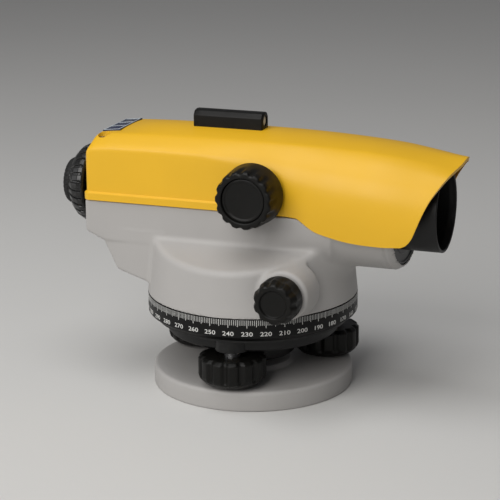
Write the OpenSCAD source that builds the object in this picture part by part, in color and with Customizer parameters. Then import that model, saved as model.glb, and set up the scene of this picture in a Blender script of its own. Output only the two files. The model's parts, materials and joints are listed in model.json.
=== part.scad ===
// Automatic level: a foot plate with three foot screws, a tribrach with a turning degree
// circle, and an alidade that carries the telescope, its compensator and a circular level.
// Z is the vertical axis, +X is the line of sight and -Y is the focusing knob's side.

/* [Foot plate] */
// Radius of the round foot plate
plate_r = 50; // [49:0.5:54]
// Thickness of the foot plate
plate_h = 10; // [9.5:0.1:10.2]
// Radius of the hole for the tripod screw (5/8 inch thread, major diameter)
thread_r = 7.94; // [6.5:0.01:8.5]

/* [Foot screws] */
// Radius of the circle that the foot screws stand on
screw_circle_r = 38.5; // [38:0.1:39]
// Radius of a foot screw knob
foot_knob_r = 16.6; // [15:0.1:16.7]
// Height of a foot screw knob
foot_knob_h = 13.6; // [12:0.1:13.8]
// Number of grip flutes round a foot screw knob
foot_knob_flutes = 13; // [9:1:16]
// Radius of a foot screw's shaft
spindle_r = 4; // [3.6:0.1:4.2]

/* [Circle] */
// Outer radius of the degree circle
circle_r = 52.4; // [52:0.2:53]
// Height of the degree circle's upright wall
circle_h = 9; // [7:0.5:9]

/* [Housing] */
// Radius of the housing's skirt where it meets the circle
skirt_r = 52.4; // [52:0.2:53]
// Radius of the skirt's upper edge
skirt_top_r = 49.6; // [48.5:0.1:50.5]
// Half the width of the telescope body
body_half_w = 27; // [26.5:0.1:27.4]
// Height of the joint between the housing and the cover
parting_z = 93.3; // [92.5:0.1:94]
// Outer radius of the objective barrel
barrel_r = 30.5; // [29.5:0.1:30.8]

/* [Cover] */
// Wall thickness of the cover
cover_t = 2; // [1.6:0.1:2.1]
// Half the width of the hood over the objective
hood_half_w = 32.6; // [32.2:0.1:33.6]

/* [Telescope] */
// Height of the line of sight
sight_z = 95.8; // [95.4:0.1:96.2]
// Outer radius of the sunshade tube
shade_r = 20.6; // [20.4:0.1:20.8]
// Front end of the sunshade tube
shade_front_x = 98.6; // [92:0.2:99]
// Largest radius of the eyepiece ring
eyepiece_r = 20; // [17:0.5:21]

/* [Controls] */
// Radius of the focusing knob where it meets the body
focus_knob_r = 15.2; // [14:0.1:15.6]
// Place of the focusing knob along the line of sight
focus_x = 12; // [11:0.5:13]
// Height of the focusing knob's axis
focus_z = 104.5; // [104.2:0.1:105]
// Radius of a fine-motion knob
fine_knob_r = 11; // [9:0.5:11.5]

/* [Hidden] */
$fn = 64;

run_gap = 0.05;     // radial clearance of a part that turns or slides in another

// foot screws
base_turn = 4.5;                    // how far the base stands turned under the telescope
screw_angles = [-90 + base_turn, 30 + base_turn, 150 + base_turn];  // front, right, left
ball_z = 7;
ball_r = 4;
seat_r = 7;
pocket_z = 2.5;
knob_bottom_z = 12;
tribrach_bottom_z = 28.2;
hub_r = 21;
hub_bottom_z = 15.8;

// circle and vertical axis
circle_top_z = 47.3;
circle_in_r = 47;
drum_r = circle_in_r - run_gap - 0.02;
axis_r = 10;
socket_r = 17;
upstand_r = 19;
wheel_r = 28;
wheel_teeth = 120;
worm_x = 32;
worm_z = 60;
worm_r = 3.85;
boss_r = 14.5;
boss_y = 47.5;

// housing
skirt_z = circle_top_z + 0.25;
roof_z = 76.7;                      // height of the ledge beside the telescope body
roof_fall = 0.305;                  // how steeply the ledge falls outwards
wall_t = 2.4;
tray_rear_x = -77;
tray_front_x = 46;
tray_floor_z = 72.9;
barrel_front_x = 76;
cover_z = parting_z + 0.4;

// inner parts
pinion_r = 2.4;
rack_top_z = focus_z - pinion_r - 0.1;
pendulum_x = -22;
pendulum_z = 113;

// ---------- helpers ----------

module x_cyl(x0, x1, r, r2 = undef, y = 0, z = sight_z)
    translate([x0, y, z])
        rotate([0, 90, 0])
            cylinder(h = x1 - x0, r1 = r, r2 = is_undef(r2) ? r : r2);

module y_cyl(y0, y1, r, r2 = undef, x = 0, z = 0)
    translate([x, y0, z])
        rotate([-90, 0, 0])
            cylinder(h = y1 - y0, r1 = r, r2 = is_undef(r2) ? r : r2);

module z_tube(z0, z1, r_out, r_in)
    translate([0, 0, z0])
        difference() {
            cylinder(h = z1 - z0, r = r_out);
            translate([0, 0, -1]) cylinder(h = z1 - z0 + 2, r = r_in);
        }

module x_tube(x0, x1, r_out, r_in, y = 0, z = sight_z)
    difference() {
        x_cyl(x0, x1, r_out, y = y, z = z);
        x_cyl(x0 - 1, x1 + 1, r_in, y = y, z = z);
    }

// a box from its lowest corner to its highest one
module box(low, high)
    translate(low)
        cube(high - low);

// children at one foot screw's place
module at_screw(angle)
    translate([screw_circle_r * cos(angle), screw_circle_r * sin(angle), 0])
        children();

// the children and their mirror image on the other side of the line of sight
module both_sides() {
    children();
    mirror([0, 1, 0]) children();
}

// ---------- foot plate ----------

module foot_plate()
    color("silver")
        difference() {
            rotate_extrude($fn = 128)
                polygon([
                    [11, 0], [plate_r - 0.6, 0], [plate_r, 0.6], [plate_r, plate_h - 1.6],
                    [plate_r - 0.5, plate_h - 0.5], [plate_r - 1.6, plate_h], [24, plate_h],
                    [22.6, plate_h + 1], [14, plate_h + 1], [13, plate_h + 2], [11, plate_h + 2]
                ]);
            translate([0, 0, -1])
                difference() {
                    cylinder(h = 2.2, r = 29);
                    cylinder(h = 5, r = 16, center = true);
                }
            for (a = screw_angles)
                at_screw(a)
                    translate([0, 0, pocket_z])
                        cylinder(h = plate_h, r = seat_r);
        }

module tripod_thread_bush()
    color("goldenrod")
        z_tube(0, plate_h + 2, 11, thread_r);

// a cup under a foot screw's ball
module ball_seat(r, bottom_z)
    difference() {
        translate([0, 0, bottom_z]) cylinder(h = ball_z - bottom_z, r = r);
        translate([0, 0, ball_z]) sphere(r = ball_r + 0.1);
    }

// the front cup rocks a little in its pocket
module front_ball_seat()
    color("dimgray")
        at_screw(screw_angles[0])
            difference() {
                ball_seat(seat_r - 0.25, pocket_z + 0.3);
                translate([0, 0, ball_z - 0.35]) cylinder(h = 5, r = seat_r);
            }

module rear_ball_seats()
    color("dimgray")
        for (a = [screw_angles[1], screw_angles[2]])
            at_screw(a)
                ball_seat(seat_r, pocket_z);

module ball_retainers()
    color("darkgray")
        for (a = screw_angles)
            at_screw(a)
                difference() {
                    translate([0, 0, ball_z + 0.05])
                        cylinder(h = plate_h - ball_z - 0.05, r = seat_r);
                    translate([0, 0, ball_z]) sphere(r = ball_r + 0.15);
                }

// ---------- foot screws ----------

module foot_spindle(angle)
    color("lightgray")
        at_screw(angle) {
            translate([0, 0, ball_z]) sphere(r = ball_r);
            translate([0, 0, ball_z]) cylinder(h = 6, r = 2.2);
            translate([0, 0, knob_bottom_z + 0.5]) cylinder(h = 29, r = spindle_r);
        }

module spindle_front() foot_spindle(screw_angles[0]);
module spindle_right() foot_spindle(screw_angles[1]);
module spindle_left() foot_spindle(screw_angles[2]);

module foot_knob(angle)
    color([0.11, 0.11, 0.11])
        at_screw(angle)
            difference() {
                translate([0, 0, knob_bottom_z])
                    rotate_extrude()
                        polygon([
                            [spindle_r + run_gap, 0.5], [7, 0.5], [7, 0], [foot_knob_r - 3, 0],
                            [foot_knob_r - 1, 0.8], [foot_knob_r, 2.6],
                            [foot_knob_r, foot_knob_h - 2], [foot_knob_r - 1, foot_knob_h - 0.5],
                            [foot_knob_r - 2, foot_knob_h], [spindle_r + run_gap, foot_knob_h]
                        ]);
                for (i = [0 : foot_knob_flutes - 1])
                    rotate([0, 0, angle + i * 360 / foot_knob_flutes])
                        translate([foot_knob_r + 5.4, 0, 0])
                            cylinder(h = 60, r = 6, $fn = 24);
            }

module foot_knob_front() foot_knob(screw_angles[0]);
module foot_knob_right() foot_knob(screw_angles[1]);
module foot_knob_left() foot_knob(screw_angles[2]);

// ---------- tribrach ----------

module tribrach()
    color([0.13, 0.13, 0.13])
        difference() {
            union() {
                // round floor, retaining flange and the drum that the circle turns on
                rotate_extrude($fn = 128)
                    polygon([
                        [0, 33], [40.5, 33], [40.5, tribrach_bottom_z],
                        [42, tribrach_bottom_z], [43, tribrach_bottom_z + 1], [43, 33.6],
                        [48, 34.4], [48, 35.4], [drum_r, 35.4],
                        [drum_r, circle_top_z - 1.3], [43, circle_top_z - 1.3],
                        [43, 38], [0, 38]
                    ]);
                translate([0, 0, hub_bottom_z]) cylinder(h = 1, r1 = hub_r - 1, r2 = hub_r);
                translate([0, 0, hub_bottom_z + 1]) cylinder(h = 20, r = hub_r);
                z_tube(39, worm_z + 3.5, upstand_r, socket_r + 0.4);
                for (a = screw_angles)
                    at_screw(a)
                        translate([0, 0, tribrach_bottom_z]) cylinder(h = 9, r = 8.4);
            }
            translate([0, 0, 10]) cylinder(h = 35, r = axis_r);
            for (a = screw_angles)
                at_screw(a)
                    translate([0, 0, 20]) cylinder(h = 30, r = 7);
        }

module foot_screw_bushes()
    color("goldenrod")
        for (a = screw_angles)
            at_screw(a)
                z_tube(tribrach_bottom_z, 41, 7, spindle_r + run_gap);

module vertical_spindle()
    color("lightgray") {
        translate([0, 0, 30]) cylinder(h = 34.8, r = axis_r);
        translate([0, 0, 40]) cylinder(h = 2, r = 16);
    }

module thrust_balls()
    color("gainsboro")
        for (i = [0 : 15])
            rotate([0, 0, i * 360 / 16])
                translate([12.5, 0, 43])
                    sphere(r = 1, $fn = 24);

// the sprung collar that lets the worm wheel slip when the instrument is turned by hand
module clutch_ring()
    color("darkgoldenrod")
        difference() {
            z_tube(worm_z - 7, worm_z - 4.1, upstand_r + 3, upstand_r);
            box([upstand_r - 1, -1, worm_z - 8], [upstand_r + 4, 1, worm_z - 3]);
        }

module degree_circle()
    color([0.1, 0.1, 0.1])
        rotate_extrude($fn = 180)
            polygon([
                [circle_in_r, 35.6], [48.5, 35.6], [circle_r, circle_top_z - circle_h],
                [circle_r, circle_top_z], [circle_in_r, circle_top_z]
            ]);

// ---------- slow motion ----------

module worm_wheel()
    color("goldenrod")
        difference() {
            z_tube(worm_z - 4, worm_z + 3, wheel_r, upstand_r + run_gap);
            for (i = [0 : wheel_teeth - 1])
                rotate([0, 0, (i + 0.5) * 360 / wheel_teeth])
                    translate([wheel_r + 0.4, 0, worm_z])
                        cube([2, 0.7, 20], center = true);
        }

module worm_shaft()
    color("lightgray")
        difference() {
            union() {
                y_cyl(-boss_y - 12, boss_y + 12, 2.5, x = worm_x, z = worm_z);
                y_cyl(-9, 9, worm_r, x = worm_x, z = worm_z);
            }
            for (y = [-7.5 : 1.5 : 7.5])
                translate([worm_x, y, worm_z])
                    rotate([90, 0, 0])
                        z_tube(-0.35, 0.35, worm_r + 1, worm_r - 0.7);
        }

module worm_bearings()
    color("goldenrod")
        both_sides()
            translate([worm_x, 0, worm_z])
                rotate([90, 0, 0])
                    z_tube(36.5, boss_y, 5, 2.5 + run_gap);

module fine_knob()
    color([0.1, 0.1, 0.1])
        difference() {
            translate([worm_x, -boss_y - 0.6, worm_z])
                rotate([90, 0, 0])
                    rotate_extrude()
                        polygon([
                            [0, 12.8], [6.5, 12.8], [7, 13.8], [8.6, 13.8], [fine_knob_r - 1.2, 12.4],
                            [fine_knob_r - 0.4, 9], [fine_knob_r, 1], [fine_knob_r - 0.6, 0], [0, 0]
                        ]);
            y_cyl(-boss_y - 12, 0, 2.5, x = worm_x, z = worm_z);
            for (a = [0 : 36 : 324])
                translate([worm_x, -boss_y - 14, worm_z])
                    rotate([0, a, 0])
                        translate([fine_knob_r + 2.9, 0, 0])
                            y_cyl(-3, 8, 3.8, x = 0, z = 0, $fn = 20);
        }

module fine_knob_near() fine_knob();
module fine_knob_far() mirror([0, 1, 0]) fine_knob();

// ---------- housing ----------

// the bell-shaped skirt with its falling ledges, drawn in by `inset`
module bell(inset)
    intersection() {
        translate([0, 0, skirt_z - (inset > 0 ? 1 : 0)])
            cylinder(h = 32, r1 = skirt_r - inset, r2 = skirt_top_r - inset, $fn = 128);
        translate([-60, 0, 0])
            rotate([90, 0, 90])
                linear_extrude(height = 120)
                    polygon([
                        [-60, 0], [60, 0],
                        [60, roof_z - inset - roof_fall * (60 - body_half_w)],
                        [body_half_w, roof_z - inset], [-body_half_w, roof_z - inset],
                        [-60, roof_z - inset - roof_fall * (60 - body_half_w)]
                    ]);
    }

// side outline of the rear of the telescope body and the bracket under it
module rear_outline()
    polygon([
        [tray_front_x, parting_z], [tray_rear_x, parting_z], [tray_rear_x, 77.5],
        [-75.5, 74.6], [-69, tray_floor_z], [-65, 56], [-50, 51], [-44, 51], [-44, 70],
        [tray_front_x, 70]
    ]);

module tray_solid() {
    rotate([90, 0, 0])
        translate([0, 0, -body_half_w])
            linear_extrude(height = 2 * body_half_w)
                intersection() {
                    rear_outline();
                    translate([-100, tray_floor_z]) square([200, 40]);
                }
    rotate([90, 0, 0])
        translate([0, 0, -22])
            linear_extrude(height = 44)
                rear_outline();
}

module lower_housing()
    color("silver") {
        difference() {
            union() {
                bell(0);
                difference() {
                    tray_solid();
                    bell(0.5);
                    translate([0, 0, 40]) cylinder(h = 30, r = 46);
                }
                // objective barrel, a trough under the hood
                intersection() {
                    x_cyl(44, barrel_front_x, barrel_r);
                    box([40, -40, 50], [90, 40, parting_z]);
                }
                // bosses round the slow-motion shaft, and the pad of the circular level
                both_sides()
                    intersection() {
                        y_cyl(-boss_y, -34, boss_r - 1, boss_r + 3, x = worm_x, z = worm_z);
                        box([0, -60, skirt_z], [60, 0, 90]);
                    }
                translate([0, 38, 66]) cylinder(h = 9, r = 10.5);
            }
            bell(wall_t);
            // open inside of the telescope body
            box([tray_rear_x + wall_t, -body_half_w + wall_t, roof_z],
                [tray_front_x, body_half_w - wall_t, 120]);
            // flat on top of the level's pad
            translate([0, 38, 75]) cylinder(h = 20, r = 10.5);
            x_cyl(50, 90, barrel_r - 2.5);
            x_cyl(40, 60, 18);
            x_cyl(-90, -60, 13);
            both_sides()
                y_cyl(-60, 0, 5, x = worm_x, z = worm_z);
        }
        // socket that hangs on the vertical axis
        difference() {
            translate([0, 0, 46]) cylinder(h = roof_z - 1 - 46, r = socket_r);
            translate([0, 0, 40]) cylinder(h = 25, r = 14);
        }
    }

module vertical_bush()
    color("darkgoldenrod") {
        z_tube(44.05, 64.8, 14, axis_r + run_gap);
        z_tube(44.05, 45.9, 16.5, 13);
    }

// ---------- cover ----------

cover_xs = [-79, -77.5, -75, -73.5, -64, -45, -25, -5, 10, 20, 32, 44, 60, 76, 90, 100, 110];
function cover_w(x) = lookup(x, [
    [-79, body_half_w - 1.5], [-76, body_half_w], [5, body_half_w + 0.2],
    [20, body_half_w + 1.4], [32, body_half_w + 3], [43, hood_half_w], [76, hood_half_w],
    [110, hood_half_w - 2.5]]);
function cover_top(x) = lookup(x, [
    [-79, 118], [-77.5, 122], [-75, 125], [-73.5, 126.1], [-64, 127.2], [-45, 128.8], [-10, 129.4],
    [10, 129.4], [32, 128.9], [60, 127.3], [90, 124.4], [108.2, 122.6]]);
function cover_n(x) = lookup(x, [[-79, 4.4], [-20, 4.4], [32, 3], [60, 2.5], [110, 2.1]]);
arch_base_z = 98;
arch_steps = 24;

// one cross-section of the cover: upright sides under a superellipse arch
function arch(x, side_t, top_t, low) =
    let (w = cover_w(x) - side_t, h = cover_top(x) - top_t - arch_base_z, p = 2 / cover_n(x))
    concat(
        [[x, w, low]],
        [for (i = [0 : arch_steps])
            let (a = 180 * i / arch_steps, c = cos(a), s = sin(a))
            [x, w * sign(c) * pow(abs(c), p), arch_base_z + h * pow(max(s, 0), p)]],
        [[x, -w, low]]);

module loft(xs, side_t, top_t, low) {
    n = arch_steps + 3;
    points = [for (x = xs) each arch(x, side_t, top_t, low)];
    sides = [for (k = [0 : len(xs) - 2], i = [0 : n - 1])
        let (j = (i + 1) % n, a = k * n, b = a + n)
        each [[a + i, b + i, b + j], [a + i, b + j, a + j]]];
    ends = [[for (i = [0 : n - 1]) i], [for (i = [n - 1 : -1 : 0]) (len(xs) - 1) * n + i]];
    polyhedron(points = points, faces = concat(sides, ends));
}

// side outline of the cover, with the hood's slanting mouth and its dropped lower edge
module cover_outline()
    polygon([
        [-90, cover_z], [31, cover_z], [34, cover_z - 1], [37, cover_z - 3.2], [41, cover_z - 5.8],
        [47, cover_z - 7.6], [57, cover_z - 9.4], [67, cover_z - 10.2], [82, cover_z - 10],
        [86.5, cover_z - 8.6], [89, cover_z - 5.4], [91.2, 93], [95.3, 103], [97.5, 112],
        [100.5, 117.5], [108, 122.5], [108, 140], [-90, 140]
    ]);

module upper_cover()
    color("gold")
        difference() {
            union() {
                intersection() {
                    difference() {
                        loft(cover_xs, 0, 0, 70);
                        loft([for (x = cover_xs) x < -76 ? x + 3 : x + 1], cover_t, cover_t + 1.3, 60);
                    }
                    rotate([90, 0, 0])
                        translate([0, 0, -50])
                            linear_extrude(height = 100)
                                cover_outline();
                }
                // raised lip along the lower edge
                both_sides()
                    box([-79.8, -body_half_w - 1.1, cover_z], [8, -body_half_w + 1, cover_z + 4]);
                box([-79.8, -body_half_w - 1.1, cover_z], [-77.4, body_half_w + 1.1, cover_z + 4]);
                // posts that the cover screws go down through
                for (p = cover_screw_places)
                    translate([p[0], p[1], cover_z])
                        cylinder(h = p[2] - cover_z + 1, r = 4);
            }
            x_cyl(-90, -70, 13);
            y_cyl(-60, -20, 5, x = focus_x, z = focus_z);
            // seats of the peep sight and the label plate
            box([sight_rear_x, -sight_half_w, sight_seat_z], [sight_front_x, sight_half_w, 140]);
            at_label() box([0, -14, 0], [9.5, 14, 5]);
            for (p = cover_screw_places)
                translate(p) {
                    cylinder(h = 30, r = 3);
                    translate([0, 0, -40]) cylinder(h = 50, r = 1.5);
                }
        }

cover_screw_places = [[-71, -18, 121.5], [-71, 18, 121.5]];

module cover_screws()
    color("dimgray")
        for (p = cover_screw_places)
            translate(p) {
                difference() {
                    cylinder(h = 2, r = 2.7);
                    translate([0, 0, 1.2]) cylinder(h = 2, r = 1.3, $fn = 6);
                }
                translate([0, 0, -27]) cylinder(h = 27, r = 1.5);
            }

module cover_gasket()
    color([0.05, 0.05, 0.05])
        difference() {
            box([tray_rear_x + 0.3, -body_half_w + 0.3, parting_z],
                [tray_front_x - 2, body_half_w - 0.3, cover_z]);
            box([tray_rear_x + 1.8, -body_half_w + 1.8, parting_z - 1],
                [tray_front_x - 3.5, body_half_w - 1.8, cover_z + 1]);
            x_cyl(-90, -70, 13);
        }

// the flat seat on the cover's rear slope, as a frame whose floor is at z = 0
module at_label()
    translate([-73.5, 0, 125.4])
        rotate([0, -6.6, 0])
            children();

module label_plate()
    color("midnightblue")
        at_label() box([0, -14, 0], [9.5, 14, 0.8]);

sight_rear_x = -29;
sight_front_x = 7;
sight_half_w = 4.6;
sight_seat_z = 127.9;
sight_axis_z = 132.9;

module peep_sight_body()
    color([0.08, 0.08, 0.08])
        difference() {
            union() {
                x_cyl(sight_rear_x, sight_front_x, sight_half_w, z = sight_axis_z);
                box([sight_rear_x, -sight_half_w, sight_seat_z],
                    [sight_front_x, sight_half_w, sight_axis_z]);
            }
            x_cyl(-40, 20, 2.7, z = sight_axis_z + 0.3);
        }

module peep_sight_lens()
    color("aliceblue")
        x_cyl(4.4, 6.4, 2.7, z = sight_axis_z + 0.3);

// ---------- objective ----------

module objective_bezel()
    color([0.06, 0.06, 0.06])
        intersection() {
            x_tube(barrel_front_x, barrel_front_x + 1.6, barrel_r - 0.6, shade_r);
            box([60, -40, 50], [90, 40, 112]);
        }

module sunshade_tube()
    color([0.06, 0.06, 0.06])
        x_tube(66, shade_front_x, shade_r, shade_r - 1.4);

module objective_cell()
    color([0.08, 0.08, 0.08])
        difference() {
            union() {
                intersection() {
                    x_cyl(50, 53, barrel_r - 2.5);
                    box([40, -40, 50], [60, 40, 112]);
                }
                x_cyl(50, 66, 22);
            }
            x_cyl(40, 70, 18);
            x_cyl(56, 70, shade_r - 1.4);
        }

// a lens with a flat back at x0, a rim up to x1 and a bulging front
module lens(x0, x1, r, bulge)
    translate([x0, 0, sight_z])
        rotate([0, 90, 0])
            intersection() {
                cylinder(h = x1 - x0 + 2 * bulge, r = r, center = false);
                translate([0, 0, x1 - x0 + bulge - lens_ball(r, bulge)])
                    sphere(r = lens_ball(r, bulge), $fn = 96);
            }
function lens_ball(r, bulge) = (r * r + bulge * bulge) / (2 * bulge);

module objective_lens()
    color("lightcyan")
        lens(56, 61, shade_r - 1.4, 2);

// ---------- focusing ----------

module guide_rods()
    color("lightgray")
        both_sides()
            x_cyl(-8, tray_front_x, 1.5, y = -20, z = 84);

module focus_carriage()
    color("dimgray")
        difference() {
            union() {
                x_cyl(14, 32, 14);
                both_sides()
                    box([16, -23, 81], [30, -9, 87]);
                box([0, -20, rack_top_z - 4], [38, -9, rack_top_z]);
            }
            x_cyl(10, 40, 11.5);
            both_sides()
                x_cyl(10, 40, 1.5 + run_gap, y = -20, z = 84);
            for (x = [1 : 1.5 : 37])
                box([x, -21, rack_top_z - 0.8], [x + 0.7, -14, rack_top_z + 1]);
        }

module focus_lens()
    color("lightcyan")
        difference() {
            x_cyl(21, 26, 11.5);
            translate([-12, 0, sight_z]) sphere(r = 34.5, $fn = 96);
        }

module focus_shaft()
    color("lightgray") {
        y_cyl(-44, -14, 2.2, x = focus_x, z = focus_z);
        difference() {
            y_cyl(-20, -14, pinion_r, x = focus_x, z = focus_z);
            for (a = [0 : 36 : 324])
                translate([focus_x, -17, focus_z])
                    rotate([0, a + 18, 0])
                        translate([pinion_r + 0.3, 0, 0])
                            cube([1, 8, 0.6], center = true);
        }
    }

module focus_bush()
    color("darkgray")
        translate([focus_x, 0, focus_z])
            rotate([90, 0, 0])
                union() {
                    z_tube(22, 31, 5, 2.2 + run_gap);
                    z_tube(body_half_w + 2, 31, 9, 4);
                }

module focus_knob()
    color([0.09, 0.09, 0.09])
        difference() {
            translate([focus_x, -31.4, focus_z])
                rotate([90, 0, 0])
                    rotate_extrude($fn = 96)
                        polygon([
                            [2.2, 0], [focus_knob_r - 1, 0], [focus_knob_r, 1], [focus_knob_r - 0.2, 8],
                            [focus_knob_r - 0.8, 13.5], [focus_knob_r - 2, 15.4],
                            [focus_knob_r - 3.5, 16], [10.6, 16], [10.6, 14.2], [2.2, 14.2]
                        ]);
            for (i = [0 : 12])
                translate([focus_x, -44, focus_z])
                    rotate([0, i * 360 / 13, 0])
                        translate([focus_knob_r + 2.8, 0, 0])
                            y_cyl(-6, 6, 4, 2.9, x = 0, z = 0, $fn = 20);
        }

module focus_knob_cap()
    color([0.07, 0.07, 0.07])
        translate([focus_x, -31.4 - 14.2, focus_z])
            rotate([90, 0, 0])
                rotate_extrude()
                    polygon([[0, 0], [10.5, 0], [10.5, 1.5], [9.5, 1.2], [0, 0.8]]);

// ---------- compensator ----------

module compensator_frame()
    color("slategray") {
        box([-38, -20, roof_z], [-8, 20, roof_z + 2.5]);
        both_sides() {
            box([-26, -20, roof_z], [-18, -17, 119]);
            box([-38, -20, roof_z], [-34, -17, 100]);
            box([-11, -22, roof_z], [-8, -17, 87]);
        }
        box([-26, -20, 117], [-18, 20, 120]);
    }

module fixed_prism()
    color("lightcyan")
        translate([-38, -9, roof_z + 2.5])
            cube([9, 18, 28]);

module suspension_wires()
    color("lightgray")
        both_sides()
            for (x = [pendulum_x - 2, pendulum_x + 2])
                translate([x, -12, pendulum_z])
                    cylinder(h = 117 - pendulum_z, r = 0.25, $fn = 16);

module pendulum()
    color("steelblue") {
        box([pendulum_x - 3, -14, pendulum_z - 3], [pendulum_x + 3, 14, pendulum_z - 0.1]);
        both_sides()
            box([pendulum_x - 3, -14, 84], [pendulum_x + 3, -12, pendulum_z - 2]);
        box([pendulum_x - 3, -14, 84], [pendulum_x + 3, 14, 86]);
        y_cyl(-5, 5, 2.6, x = pendulum_x, z = 83.4);
    }

module pendulum_prism()
    color("lightcyan")
        translate([pendulum_x, -10, 86])
            rotate([-90, 0, 0])
                linear_extrude(height = 20)
                    polygon([[-5, 0], [5, 0], [0, -17], [-5, -17]]);

module damper_magnets()
    color("dimgray")
        both_sides()
            box([pendulum_x - 4, -12, roof_z + 2.5], [pendulum_x + 4, -6, 83]);

// ---------- reticle ----------

module reticle_holder()
    color("dimgray")
        difference() {
            union() {
                x_cyl(-59, -55, 12);
                box([-59, -12, roof_z], [-55, 12, 90]);
            }
            x_cyl(-70, -50, 7.5);
        }

module reticle_glass()
    color("lightcyan")
        x_cyl(-58, -56.5, 7.5);

module reticle_screws()
    color("lightgray")
        for (a = [0, 90, 180])
            translate([-57, 0, sight_z])
                rotate([a - 90, 0, 0])
                    translate([0, 0, 12])
                        cylinder(h = 2, r = 1.6);

// ---------- eyepiece ----------

module eyepiece_mount()
    color([0.1, 0.1, 0.1]) {
        x_tube(-80, -64, 12.95, 10);
        x_tube(-81.4, -80, 16, 10);
    }

module eyepiece_cell()
    color([0.1, 0.1, 0.1])
        x_tube(-95.6, -68, 10 - run_gap, 8);

module eyepiece_lenses()
    color("lightcyan") {
        lens(-94.6, -91.6, 8, 1.2);
        lens(-88, -85, 8, 1.2);
    }

module eyepiece_ring()
    color([0.09, 0.09, 0.09])
        difference() {
            translate([-83, 0, sight_z])
                rotate([0, -90, 0])
                    rotate_extrude($fn = 96)
                        polygon([
                            [10, 0], [eyepiece_r - 1, 0], [eyepiece_r, 1], [eyepiece_r, 3.5],
                            [eyepiece_r - 1.4, 6.6], [eyepiece_r - 4, 9.3], [12.4, 11.4], [10, 11.4]
                        ]);
            for (a = [0 : 15 : 345])
                translate([0, 0, sight_z])
                    rotate([a, 0, 0])
                        translate([-92, 0, eyepiece_r + 0.3])
                            cube([20, 1.6, 1.6], center = true);
        }

module eyecup()
    color([0.05, 0.05, 0.05])
        translate([-94.4, 0, sight_z])
            rotate([0, -90, 0])
                rotate_extrude()
                    polygon([[10, 0], [12, 0], [11.6, 2], [10.2, 3.6], [7, 3.6], [7, 2.6], [10, 2.6]]);

// ---------- circular level ----------

module level_housing()
    color([0.12, 0.12, 0.12])
        difference() {
            translate([0, 38, 76]) cylinder(h = 7, r = 9.5);
            translate([0, 38, 78.5]) cylinder(h = 10, r = 7.5);
        }

module level_vial()
    color("palegreen")
        translate([0, 38, 78.5])
            intersection() {
                cylinder(h = 6, r = 7.45);
                translate([0, 0, 5 - 40]) sphere(r = 40, $fn = 96);
            }

module level_adjusting_screws()
    color("lightgray")
        for (a = [30, 150, 270])
            translate([7 * cos(a), 38 + 7 * sin(a), 75])
                cylinder(h = 1, r = 1.8, $fn = 24);

mirror_y = 31.5;
mirror_z = 88.5;

module mirror_bracket()
    color([0.12, 0.12, 0.12]) {
        box([-9, body_half_w, 84.5], [9, 28.6, 92.5]);
        for (x = [-9, 7])
            box([x, 28, 86.5], [x + 2, mirror_y + 2.2, 90.7]);
        x_cyl(-8, 8, 1.1, y = mirror_y, z = mirror_z);
    }

module bubble_mirror()
    color("lightsteelblue")
        translate([0, mirror_y, mirror_z])
            rotate([45, 0, 0])
                difference() {
                    union() {
                        x_cyl(-6.9, 6.9, 2.1, y = 0, z = 0);
                        box([-6.9, 0, -1], [6.9, 4, 1]);
                        box([-9, 4, -1], [9, 21, 1]);
                    }
                    x_cyl(-10, 10, 1.1 + run_gap, y = 0, z = 0);
                }

// ---------- nodes ----------

foot_plate();
tripod_thread_bush();
ball_retainers();
rear_ball_seats();
front_ball_seat();
tribrach();
foot_screw_bushes();
vertical_spindle();
thrust_balls();
clutch_ring();
spindle_front();
spindle_right();
spindle_left();
foot_knob_front();
foot_knob_right();
foot_knob_left();
degree_circle();
worm_wheel();
worm_shaft();
fine_knob_near();
fine_knob_far();
lower_housing();
vertical_bush();
worm_bearings();
upper_cover();
cover_gasket();
cover_screws();
label_plate();
peep_sight_body();
peep_sight_lens();
objective_bezel();
sunshade_tube();
objective_cell();
objective_lens();
guide_rods();
focus_bush();
focus_shaft();
focus_knob();
focus_knob_cap();
focus_carriage();
focus_lens();
compensator_frame();
fixed_prism();
suspension_wires();
damper_magnets();
pendulum();
pendulum_prism();
reticle_holder();
reticle_glass();
reticle_screws();
eyepiece_mount();
eyepiece_cell();
eyepiece_lenses();
eyepiece_ring();
eyecup();
level_housing();
level_vial();
level_adjusting_screws();
mirror_bracket();
bubble_mirror();
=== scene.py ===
"""Looks of an automatic level: cast grey housing, yellow cover with its hood, knobs, circle and optics."""
import json
import math

import bmesh
import bpy
import numpy as np
from mathutils import Matrix, Vector


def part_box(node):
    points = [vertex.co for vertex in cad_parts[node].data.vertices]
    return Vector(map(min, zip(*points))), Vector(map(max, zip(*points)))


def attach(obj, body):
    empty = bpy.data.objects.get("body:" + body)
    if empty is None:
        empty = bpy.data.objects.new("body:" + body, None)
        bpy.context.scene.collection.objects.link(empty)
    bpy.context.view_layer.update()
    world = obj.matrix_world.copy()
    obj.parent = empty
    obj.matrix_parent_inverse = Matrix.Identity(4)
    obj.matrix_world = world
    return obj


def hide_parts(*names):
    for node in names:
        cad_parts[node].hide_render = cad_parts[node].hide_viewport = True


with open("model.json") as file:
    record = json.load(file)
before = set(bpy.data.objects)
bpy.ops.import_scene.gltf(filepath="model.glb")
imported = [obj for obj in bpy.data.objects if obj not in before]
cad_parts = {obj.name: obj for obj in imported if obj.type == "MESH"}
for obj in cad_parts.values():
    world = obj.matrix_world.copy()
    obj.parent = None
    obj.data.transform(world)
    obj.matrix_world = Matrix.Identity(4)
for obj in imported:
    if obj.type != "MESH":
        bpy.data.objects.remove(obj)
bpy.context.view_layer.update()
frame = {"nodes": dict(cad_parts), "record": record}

MM = 0.001


def span(node):
    """Lowest and highest corner of a CAD node, in millimetres."""
    low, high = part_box(node)
    return np.array(low) / MM, np.array(high) / MM


# ---------- numbers and curves ----------


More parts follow.
